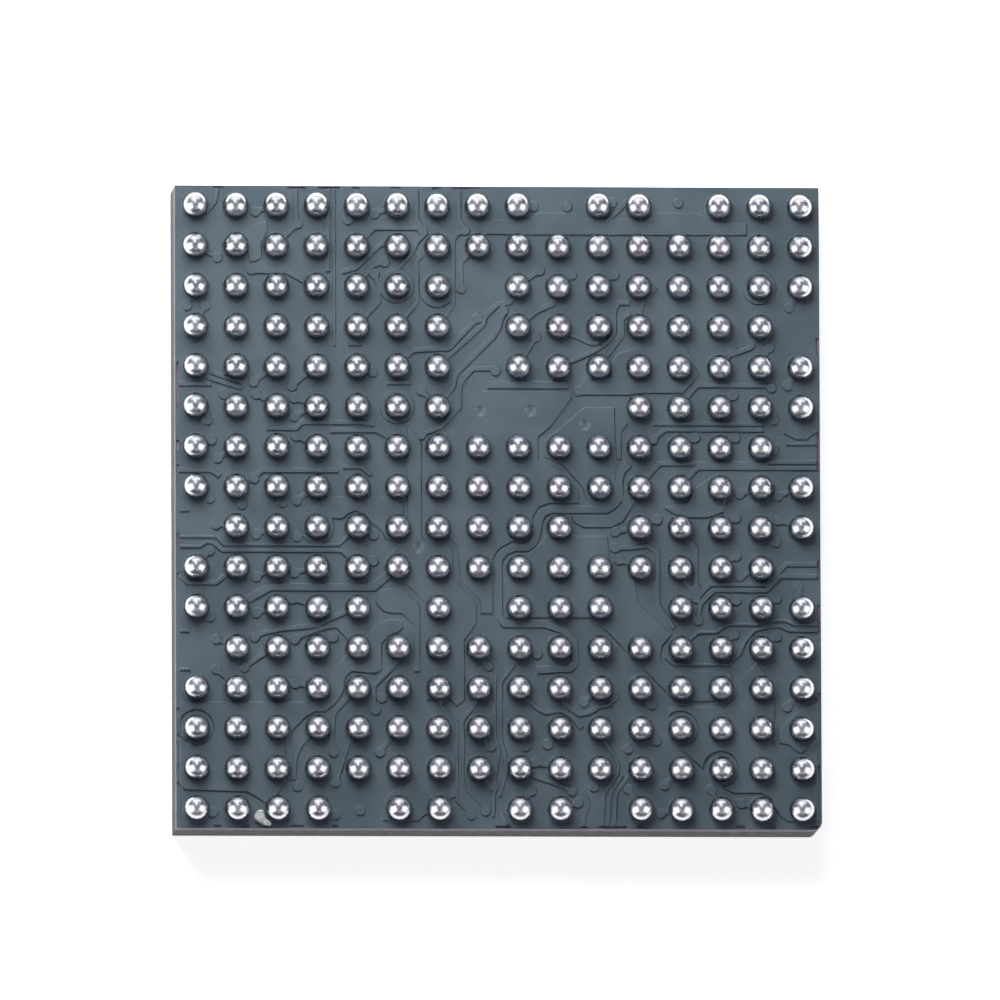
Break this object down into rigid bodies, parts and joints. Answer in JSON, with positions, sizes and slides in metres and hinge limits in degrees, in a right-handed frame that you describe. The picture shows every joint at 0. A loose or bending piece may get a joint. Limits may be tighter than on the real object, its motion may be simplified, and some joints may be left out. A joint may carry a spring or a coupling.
{
  "type": "ball grid array chip",
  "caption": "Square ball grid array package with solder balls in a grid, solder mask over traces, and a moulded cap.",
  "frame": {"origin": "centre of the mould's flat face, on the plane the chip lies on", "axes": "+Z from the mould's flat face to the ball tops; +X along the ball rows towards the higher column; +Y along the ball columns towards row A"},
  "size_m": [0.008, 0.008, 0.0012],
  "materials": {
    "mould_compound": "matt black epoxy mould compound",
    "silicon": "polished silicon, sealed inside",
    "adhesive": "cured adhesive film, sealed inside",
    "gold": "bond wire, sealed inside",
    "solder_mask": "slate blue-green solder mask, satin",
    "copper": "etched copper foil, sealed under the mask",
    "laminate": "cut edge of woven glass and epoxy",
    "solder": "bright reflowed solder",
    "residue": "dried flux residue"
  },
  "bodies": {
    "root": {"mould_cap": "mould_compound", "silicon_die": "silicon", "die_attach_film": "adhesive", "bond_wires": "gold", "die_side_mask": "solder_mask", "die_side_copper": "copper", "laminate_core": "laminate", "plated_vias": "copper", "ball_side_copper": "copper", "ball_side_mask": "solder_mask", "balls_row_a": "solder", "balls_row_b": "solder", "balls_row_c": "solder", "balls_row_d": "solder", "balls_row_e": "solder", "balls_row_f": "solder", "balls_row_g": "solder", "balls_row_h": "solder", "balls_row_j": "solder", "balls_row_k": "solder", "balls_row_l": "solder", "balls_row_m": "solder", "balls_row_n": "solder", "balls_row_p": "solder", "balls_row_r": "solder", "balls_row_t": "solder", "flux_fleck": "residue"}
  },
  "joints": []
}
